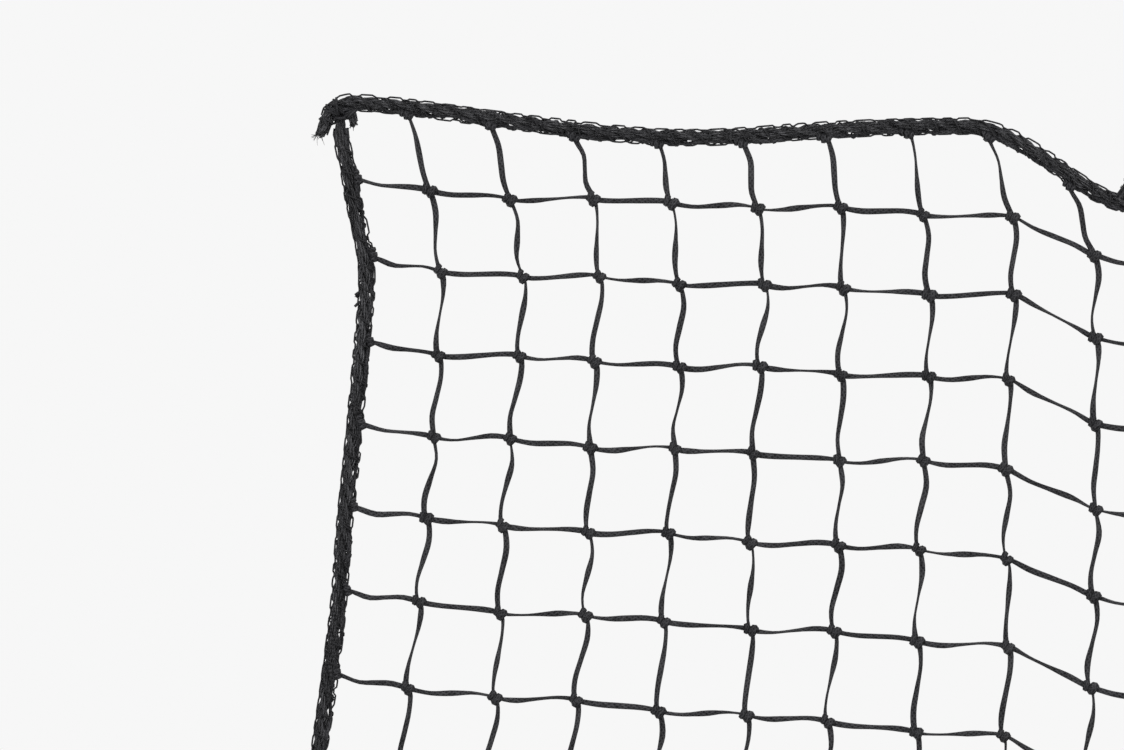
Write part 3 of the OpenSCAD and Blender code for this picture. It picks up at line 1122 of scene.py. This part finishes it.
@dataclass
class BorderMaker:
    """Laid border rope, the edge twine beside it and the thread that lashes them together.

    Attributes:
        layout: the net's layout.
        wardrobe: the finishes.
        yarn: thickness of a yarn.
        yarn_offset: distance of a yarn's centre from its strand's.
        strand_offset: distance of a strand's centre from the rope's.
        lay: length in which a strand goes once round the rope.
        yarn_lay: length in which a yarn goes once round its strand.
        rope_step: distance between the rope's rings.
        outward: how far the rope lies outside the CAD rope's centre line.
        stitch: length of one stitch of the lashing.
        stand_off: how far a slack loop stands off the rope.
        thread: thickness of the thread.
        thread_step: distance between the thread's rings.
        slack_fade: length over which slack loops fade out at the ends of a lashing.
        winding: length of a winding round the bundle, as a share of a stitch.
        edge_winding: length of a winding round the edge twine, as a share of a stitch.
        tail_taper: length over which a rope thins out at its end.
        side_shift: how far a side rope lies outside the CAD rope at its corners.
        long_lashed: rope rings that a long border's lashing leaves free at each end.
        long_edged: rope rings that a long border's edge twine leaves free at each end.
        side_lashed: rope rings that a side border's lashing leaves free at a corner.
    """

    layout: Layout
    wardrobe: Wardrobe
    yarn: float = 1.75 * MM
    yarn_offset: float = 1.05 * MM
    strand_offset: float = 1.85 * MM
    lay: float = 36 * MM
    yarn_lay: float = 26 * MM
    rope_step: float = 2.4 * MM
    outward: float = 0.7 * MM
    stitch: float = 12.5 * MM
    stand_off: float = 1.35 * MM
    thread: float = 1.15 * MM
    thread_step: float = 1.3 * MM
    slack_fade: float = 7 * MM
    winding: float = 1.25
    edge_winding: float = 0.7
    tail_taper: float = 11 * MM
    side_shift: float = 3.2 * MM
    long_lashed: int = 5
    long_edged: int = 10
    side_lashed: int = 11

    def __post_init__(self) -> None:
        """Builds the node groups of the rope and of the lashing."""
        self.rope_tree = self._rope_tree()
        self.thread_tree = ShapeTree("thread", {"Thread": "NodeSocketFloat",
                                                "Material": "NodeSocketMaterial"})
        tree = self.thread_tree
        thread = tree.given("Thread")
        tree.finish(tree.sweep(tree.paths(), thread, thread, ROUND_SIDES))

    def _rope_tree(self) -> ShapeTree:
        """Strands of several yarns each, laid round the line that comes in."""
        sizes = ("Yarn", "Yarn Offset", "Strand Offset", "Lay", "Yarn Lay")
        tree = ShapeTree("laid_rope", {**{size: "NodeSocketFloat" for size in sizes},
                                       "Material": "NodeSocketMaterial"})
        copies = tree.node("GeometryNodeDuplicateElements", {"domain": "SPLINE"},
                           {"Geometry": tree.paths(), "Amount": STRANDS * YARNS})
        number = Signal(tree, copies.outputs["Duplicate Index"])
        strand = (number / float(YARNS)).math("FLOOR")
        run, spread = tree.attribute("run"), tree.attribute("spread")
        uneven = (run * 290.0 + number * 1.7).math("SINE") * 0.13 + 1.0
        turn = (run / tree.given("Lay") + strand / float(STRANDS)) * math.tau
        twist = ((number / float(YARNS)) + strand * 0.21
                 - run / tree.given("Yarn Lay")) * math.tau
        reach = tree.given("Strand Offset") * spread
        small = tree.given("Yarn Offset") * spread * uneven
        across = turn.math("COSINE") * reach + twist.math("COSINE") * small
        depth = turn.math("SINE") * reach + twist.math("SINE") * small
        shift = tree.vector("ADD", tree.scaled(tree.attribute("inward", "FLOAT_VECTOR"), across),
                            tree.scaled(tuple(FRONT), depth))
        laid = tree.out("GeometryNodeSetPosition", None,
                        {"Geometry": Signal(tree, copies.outputs[0]), "Offset": shift})
        size = tree.given("Yarn")
        tree.finish(tree.sweep(laid, size, size, ROUND_SIDES))
        return tree

    def rope_radius(self) -> float:
        """Radius of the whole rope."""
        return self.strand_offset + self.yarn_offset + self.yarn / 2

    def shifted(self, side: Side, path: np.ndarray) -> np.ndarray:
        """The rope's own centre line, a little outside the CAD rope's."""
        return path - self.layout.inward(side, path) * self.outward

    def rope(self, name: str, side: Side, path: np.ndarray, run: np.ndarray,
             tails: tuple[float, float] = (0.0, 0.0)) -> bpy.types.Object:
        """Lays a rope along a path.

        Args:
            name: the piece's name.
            side: the border that it follows.
            path: the rope's centre line.
            run: length along the whole border at each point.
            tails: how much the start and the end thin out, as a share of the thickness.

        Returns:
            The rope as a plain mesh.
        """
        here = lengths_along(path)
        spread = 1 + 0.07 * np.sin(run * 230) + 0.05 * np.sin(run * 617 + 1)
        swell = 1 + 0.06 * np.sin(run * 450)
        for distance, loose in zip((here, here[-1] - here), tails):
            thin = loose * np.clip(1 - distance / self.tail_taper, 0, 1)
            spread = spread * (1 - thin)
            swell = swell * (1 - 0.7 * thin)
        line = strand_line(path, run, swell)
        line.values |= {"inward": self.layout.inward(side, path), "spread": spread}
        return self.rope_tree.grow(name, path_object([line]),
                                   {"Yarn": self.yarn, "Yarn Offset": self.yarn_offset,
                                    "Strand Offset": self.strand_offset, "Lay": self.lay,
                                    "Yarn Lay": self.yarn_lay,
                                    "Material": self.wardrobe[Slot.ROPE]})

    def threads(self, name: str, lines: list[Line]) -> bpy.types.Object:
        """Sweeps thread along lines."""
        return self.thread_tree.grow(name, path_object(lines),
                                     {"Thread": self.thread,
                                      "Material": self.wardrobe[Slot.THREAD]})

    def lashing(self, name: str, side: Side, path: np.ndarray,
                run: np.ndarray) -> bpy.types.Object:
        """Lashes the rope: slack chains along both edges, and windings round the bundle.

        Args:
            name: the piece's name.
            side: the border that it follows.
            path: the rope's centre line.
            run: length along the whole border at each point.

        Returns:
            The thread as a plain mesh.
        """
        dense = smooth_path(path[::2], self.thread_step)
        own = lengths_along(dense)
        place = run[0] + (run[-1] - run[0]) * own / own[-1]
        into = self.layout.inward(side, dense)
        radius = self.rope_radius()
        lines = []
        outer, inner = (1.0, 0.75) if side in (Side.TOP, Side.BOTTOM) else (0.6, 1.0)
        for way, edge, strength, phase in ((-1.0, radius - 0.8 * MM, outer, 0.0),
                                           (1.0, radius + 0.5 * MM, inner, 1.1)):
            uneven = place + 2.6 * MM * np.sin(place * 83 + phase) + 1.6 * MM * np.sin(place * 191)
            beat = math.tau * uneven / self.stitch + phase
            slack = np.clip(1.9 * np.sin(beat) + 0.95, 0, 1) ** 0.6
            slack *= strength * (0.68 + 0.32 * np.sin(place * 47 + 3 * phase))
            slack *= np.clip(np.minimum(own, own[-1] - own) / self.slack_fade, 0, 1)
            reach = edge + self.thread * 0.4 + self.stand_off * slack
            wave = 1.1 * MM * np.sin(beat + 1.2)
            points = dense + into * (way * reach)[:, None] + np.outer(wave, FRONT)
            lines.append(strand_line(points, place))
        uneven = place + 6.0 * MM * np.sin(place * 37) + 2.6 * MM * np.sin(place * 113)
        angle = math.tau * uneven / (self.stitch * self.winding)
        bulge = np.clip(np.cos(angle), 0, 1) * 1.6 * MM
        reach = radius - 0.2 * MM
        lines.append(strand_line(dense + into * (np.cos(angle) * reach + bulge)[:, None]
                                 + np.outer(np.sin(angle) * reach, FRONT), place * 1.7))
        uneven = place + 2.0 * MM * np.sin(place * 71)
        angle = math.tau * uneven / (self.stitch * self.edge_winding) + 1
        centre = self.edge_reach(place)
        lines.append(strand_line(dense + into * (centre + np.cos(angle) * 1.6 * MM)[:, None]
                                 + np.outer(np.sin(angle) * 1.7 * MM, FRONT), place * 1.5))
        return self.threads(name, lines)

    def edge_reach(self, run: np.ndarray) -> np.ndarray:
        """Distance of the edge twine from the rope's centre line at lengths along the border."""
        return self.rope_radius() + (0.65 * np.sin(run * 118) + 0.35 * np.sin(run * 251) - 0.1) * MM

    def selvage(self, side: Side, path: np.ndarray, run: np.ndarray) -> Line:
        """The edge twine of the mesh, which weaves along the rope's inner side."""
        into = self.layout.inward(side, path)
        reach = self.edge_reach(run)
        weave = 1.3 * MM * np.sin(run * 171 + 0.6)
        points = path + into * reach[:, None] + np.outer(weave, FRONT)
        return strand_line(points, run, 0.85, turned(0.9 * np.sin(run * 88), into))

    def build(self, rig: Rig, twines: TwineMaker) -> None:
        """Makes the four borders."""
        for side in (Side.TOP, Side.BOTTOM):
            self._build_long(rig, twines, side)
        for side in (Side.LEFT, Side.RIGHT):
            self._build_side(rig, twines, side)

    def _build_long(self, rig: Rig, twines: TwineMaker, side: Side) -> None:
        """Makes the top or bottom border, whose rope passes over both corners."""
        layout = self.layout
        band = 0 if side is Side.TOP else len(layout.bands) - 1
        left, right = f"{side.value}_left", f"{side.value}_right"
        rings = self.shifted(side, layout.borders[side][1:-1])
        over = [layout.at_corner(left, OVER_CORNER), rings,
                layout.at_corner(right, OVER_CORNER)[::-1]]
        path = smooth_path(np.vstack(over), self.rope_step)
        run = lengths_along(path)
        nodes = layout.ropes[side] + [f"{kind}_{corner}" for corner in (left, right)
                                      for kind in ("corner_knot", "rope_tails")]
        rig.ride(self.rope(f"{side.value}_border_rope", side, path, run, (0.25, 0.25)), band,
                 Slot.ROPE, nodes)
        lashed = slice(self.long_lashed, len(path) - self.long_lashed)
        rig.ride(self.lashing(f"{side.value}_border_lashing", side, path[lashed], run[lashed]),
                 band, Slot.THREAD, [f"{side.value}_lashing"])
        edged = slice(self.long_edged, len(path) - self.long_edged)
        edge = self.selvage(side, path[edged], run[edged])
        rig.ride(twines.grow(f"{side.value}_edge_twine", [edge]), band, Slot.TWINE, [])

    def _build_side(self, rig: Rig, twines: TwineMaker, side: Side) -> None:
        """Makes a side border in one piece for each fold line, parted at the middle of a band."""
        layout = self.layout
        rings = self.shifted(side, layout.borders[side][1:-1])
        outward = -1.0 if side is Side.LEFT else 1.0
        corners = [f"{end}_{side.value}" for end in ("top", "bottom")]
        away = np.min([np.abs(rings[:, 2] - layout.corners[name][2]) for name in corners], axis=0)
        fade = np.clip((away / MM - 16) / 30, 0, 1)
        rings[:, 0] += outward * self.side_shift * (1 - fade * fade * (3 - 2 * fade))
        top, bottom = (layout.at_corner(name, UNDER_CORNER) for name in corners)
        whole = smooth_path(np.vstack([top, rings, bottom[::-1]]), self.rope_step)
        run = lengths_along(whole)
        column = 0 if side is Side.LEFT else layout.columns
        last_fold = len(layout.folds) - 1
        start = 0
        for fold in range(last_fold + 1):
            if fold == last_fold:
                end = len(whole) - 1
            else:
                height = layout.places[column, layout.middle_of_band(fold + 1)][2]
                end = int(np.argmin(np.abs(whole[:, 2] - height)))
            path, place = whole[start:end + 1], run[start:end + 1]
            numbers = [fold + 1] + ([fold + 2] if fold == last_fold else [])
            tag = f"{side.value}_fold_{fold + 1}"
            tails = (0.6 if fold == 0 else 0.0, 0.6 if fold == last_fold else 0.0)
            rig.bend(self.rope(f"border_rope_{tag}", side, path, place, tails), fold, Slot.ROPE,
                     [f"{side.value}_rope_{n}" for n in numbers])
            free = [self.side_lashed if tail else 0 for tail in tails]
            lashed = slice(free[0], len(path) - free[1])
            rig.bend(self.lashing(f"border_lashing_{tag}", side, path[lashed], place[lashed]), fold,
                     Slot.THREAD, [f"{side.value}_lashing_{n}" for n in numbers])
            rig.bend(twines.grow(f"edge_twine_{tag}",
                                 [self.selvage(side, path[lashed], place[lashed])]),
                     fold, Slot.TWINE, [])
            start = end


# ---- Corners -----------------------------------------------------------------------------------


@dataclass
class CornerMaker:
    """Bindings, frayed fibres, loose yarns and stray ends, which lie mostly at the corners.

    Attributes:
        borders: maker of the border ropes.
        twines: maker of the flat twine.
        hairs: number of fibres at a frayed end.
        hair: thickness of a fibre as a share of the thread's.
        seed: start of the random draws.
    """

    borders: BorderMaker
    twines: TwineMaker
    hairs: int = 16
    hair: float = 0.36
    seed: int = 5

    def __post_init__(self) -> None:
        """Starts the random draws."""
        self.random = np.random.default_rng(self.seed)

    def fray(self, tip: np.ndarray, way: np.ndarray, length: float, around: float) -> list[Line]:
        """Loose fibres that leave a tip.

        Args:
            tip: where the fibres start.
            way: the direction in which they leave.
            length: length of the longest fibre.
            around: how far from the tip they start.

        Returns:
            The fibres.
        """
        way = unit(way)
        lines = []
        for _ in range(self.hairs):
            start = tip + self.random.normal(0, around / 2, 3) - way * around
            lean = unit(way + self.random.normal(0, 0.33, 3))
            curl = self.random.normal(0, 0.22, 3)
            share = np.linspace(0, 1, 6)[:, None]
            size = length * self.random.uniform(0.4, 1.0)
            points = start + size * (share * lean + share ** 2 * curl)
            taper = self.hair * (1.15 - 0.8 * share[:, 0]) * self.random.uniform(0.7, 1.5)
            lines.append(strand_line(points, swell=taper))
        return lines

    def build(self, rig: Rig) -> None:
        """Makes the bindings, fibres and loose yarns of the four corners, and the stray ends."""
        layout = self.borders.layout
        for name in layout.corners:
            band = 0 if name.startswith("top") else len(layout.bands) - 1
            over = layout.at_corner(name, OVER_CORNER)
            under = layout.at_corner(name, UNDER_CORNER)
            fibres = (self.fray(over[0], over[0] - over[1], 6.5 * MM, 1.6 * MM)
                      + self.fray(under[0], under[0] - under[1], 2.6 * MM, 1.1 * MM))
            piece = self.borders.threads(f"frayed_ends_{name}", fibres)
            rig.ride(piece, band, Slot.THREAD, [])
            flip = layout.flips(name)
            lines = []
            for centre, axis, across, deep in (((-8.6, -1.0, -5.0), (0.6, 0, 0.8), 4.7, 4.7),
                                               ((-10.8, -1.0, -10.4), (0.25, 0, 0.95), 4.4, 4.2),
                                               ((-4.9, 0.4, -3.4), (0.85, 0, 0.5), 5.6, 5.0),
                                               ((3.3, 0.2, -6.6), (0.35, 0, -0.9), 4.0, 3.6),
                                               ((-2.9, 1.2, -9.6), (0.05, 0, -1.0), 4.3, 3.9)):
                for _ in range(4):
                    shift, lean = self.random.normal(0, 1.0, 3), self.random.normal(0, 0.35, 3)
                    line = wrap(tuple(np.array(centre) + shift),
                                tuple(np.array(axis) + lean * (1, 0, 1)),
                                across, deep, self.random.uniform(0.3, 0.55), 12)
                    line.points = line.points * flip + layout.corners[name]
                    line.values["face"] = line.values["face"] * flip
                    lines.append(line)
            piece = self.twines.grow(f"corner_binding_{name}", lines, ROUND_SIDES)
            rig.ride(piece, band, Slot.TWINE, [])
            loose = (self.loose_yarns(name, OVER_CORNER[5], (-7.8, 0.0, -9.5),
                                      (-12.6, 0.0, -19.0), 3.2, 9)
                     + self.loose_yarns(name, UNDER_CORNER[4], (3.6, -0.6, -6.6),
                                        (6.4, -0.4, -10.8), 1.9, 5))
            piece = self.borders.thread_tree.grow(
                f"loose_yarns_{name}", path_object(loose),
                {"Thread": self.borders.yarn, "Material": self.borders.wardrobe[Slot.ROPE]})
            rig.ride(piece, band, Slot.ROPE, [])
        self._stray_ends(rig)

    def loose_yarns(self, corner: str, start: tuple, bend: tuple, end: tuple, spread: float,
                    count: int) -> list[Line]:
        """Unlaid yarns of the rope's end, which fan out and end raggedly.

        Args:
            corner: the corner's name.
            start: where the yarns leave the rope, in millimetres from the top left corner.
            bend: a point on their way.
            end: middle of their ends.
            spread: how far apart they end.
            count: number of yarns.

        Returns:
            The yarns.
        """
        lines = []
        for share in np.linspace(-1, 1, count):
            stray = self.random.normal(0, 0.5, 3)
            fan = np.array([share * spread, 0, 0])
            points = np.array([start, np.array(bend) + fan * 0.5 + stray,
                               np.array(end) + fan + stray * (1.2, 2.0, 2.6)])
            path = smooth_path(self.borders.layout.at_corner(corner, points), 2.4 * MM)
            lines.append(strand_line(path, swell=np.linspace(1.0, 0.62, len(path))))
        return lines

    def _stray_ends(self, rig: Rig) -> None:
        """Cut ends that stick out of the left border and of the top border."""
        layout = self.borders.layout
        radius = self.borders.rope_radius() + self.borders.outward
        rings = layout.borders[Side.LEFT]
        left = rings[int(np.argmin(np.abs(rings[:, 2] - STRAY_HEIGHT)))]
        edge = left - np.array([radius, 0, 0])
        ends = [(edge + np.array([1.0, -0.4, 1.5]) * MM, edge + np.array([-2.0, -0.6, -0.6]) * MM),
                (edge + np.array([1.0, 0.4, 0.6]) * MM, edge + np.array([-1.5, 0.8, -1.8]) * MM),
                (edge + np.array([1.2, -0.8, -4.4]) * MM, edge + np.array([-2.3, -1.0, -7.4]) * MM)]
        bow = np.array([0, -0.3, 0.4]) * MM
        lines = [strand_line(smooth_path([a, (a + b) / 2 + bow, b], 1 * MM), swell=1.5)
                 for a, b in ends]
        lines += self.fray(ends[0][1], ends[0][1] - ends[0][0], 1.6 * MM, 1.3 * MM)
        rig.ride(self.borders.threads("stray_ends_left", lines), layout.band_at(edge),
                 Slot.THREAD, [])
        rings = layout.borders[Side.TOP]
        top = np.array([TUFT_PLACE, 0.0, np.interp(TUFT_PLACE, rings[:, 0], rings[:, 2])])
        path = top + np.array([(-2, -1, 1), (0.5, -2, 4.5), (3, -2.5, 8.5), (6, -2.5, 13.0)]) * MM
        path = smooth_path(path, 1.2 * MM)
        swells = np.linspace(1.15, 0.85, len(path))
        lines = [strand_line(path + self.random.normal(0, 1.1 * MM, 3), swell=swells,
                             face=self.random.normal(0, 1, 3)) for _ in range(5)]
        rig.ride(self.twines.grow("stray_ends_top", lines, ROUND_SIDES), 0, Slot.TWINE, [])
        fibres = self.fray(path[-1], path[-1] - path[-2], 5 * MM, 2.2 * MM)
        fibres += self.fray(path[-3], path[-1] - path[-2], 5 * MM, 2.4 * MM)
        rig.ride(self.borders.threads("stray_fibres_top", fibres), 0, Slot.THREAD, [])


# ---- Stage, light and camera -------------------------------------------------------------------


@dataclass(frozen=True)
class Studio:
    """Plain pale floor, soft light and the camera.

    Attributes:
        centre: the point at the middle of the picture.
        distance: distance of the camera from the net.
        shown_width: width of the net's plane that the picture takes in.
        floor_drop: height of the floor.
        ambient: strength of the light from all round.
        floor_half: half the floor's width.
        floor_grey: tone of the floor.
        lamp_size: width of each lamp.
        lit: the point that the lamps face.
    """

    centre: tuple = (0.1302, 0.0, -0.1632)
    distance: float = 3.0
    shown_width: float = 0.6744
    floor_drop: float = -1.05
    ambient: float = 0.93
    floor_half: float = 3.2
    floor_grey: float = 0.55
    lamp_size: float = 1.6
    lit: tuple = (0.5, 0.0, -0.4)

    def build(self) -> None:
        """Makes the floor, the lights and the camera."""
        self._floor()
        self._light()
        data = bpy.data.cameras.new("camera")
        data.sensor_width = 36.0
        data.lens = data.sensor_width * self.distance / self.shown_width
        camera = placed("camera", data)
        camera.location = (self.centre[0], -self.distance, self.centre[2])
        camera.rotation_euler = (math.pi / 2, 0, 0)
        bpy.context.scene.camera = camera

    def _floor(self) -> None:
        """A pale floor below the hanging net."""
        half = self.floor_half
        mesh = bpy.data.meshes.new("floor")
        mesh.from_pydata([(x + 0.5, y, self.floor_drop) for x, y in
                          ((-half, -half), (half, -half), (half, half), (-half, half))],
                         [], [(0, 1, 2, 3)])
        floor = placed("floor", mesh)
        shader = Shader("pale_floor")
        shader.set(Base_Color=(*[self.floor_grey] * 3, 1.0), Roughness=0.9)
        mesh.materials.append(shader.material)

    def _light(self) -> None:
        """A white surround and two large soft lamps."""
        world = bpy.data.worlds.new("surround")
        world.use_nodes = True
        background = world.node_tree.nodes["Background"]
        background.inputs["Color"].default_value = (1.0, 1.0, 1.0, 1.0)
        background.inputs["Strength"].default_value = self.ambient
        bpy.context.scene.world = world
        bpy.context.scene.view_settings.view_transform = "Standard"
        for name, place, power in (("key", (-1.2, -2.4, 1.6), 45.0),
                                   ("fill", (2.2, -1.8, 0.4), 18.0),
                                   ("back", (0.6, 2.4, 1.2), 25.0)):
            data = bpy.data.lights.new(name, "AREA")
            data.energy = power
            data.size = self.lamp_size
            lamp = placed(name, data)
            lamp.location = place
            towards = np.array(self.lit) - np.array(place)
            lamp.rotation_euler = self._facing(towards)

    @staticmethod
    def _facing(way: np.ndarray) -> tuple[float, float, float]:
        """Turn that points a lamp along a direction."""
        flat = math.hypot(way[0], way[1])
        return (math.atan2(flat, -way[2]), 0.0, math.atan2(-way[0], way[1]))


def main() -> None:
    """Builds the net's looks over the frame."""
    logging.basicConfig(level=logging.INFO, format="%(name)s: %(message)s")
    Studio().build()
    layout = Layout(frame["record"])
    LOG.info("%d columns and %d rows in %d bands", layout.columns, layout.rows, len(layout.bands))
    wardrobe = Wardrobe()
    rig = Rig(layout)
    twines = TwineMaker(layout, wardrobe[Slot.TWINE])
    twines.build(rig)
    KnotMaker(twines).build(rig)
    borders = BorderMaker(layout, wardrobe)
    borders.build(rig, twines)
    CornerMaker(borders, twines).build(rig)


if __name__ == "__main__":
    main()
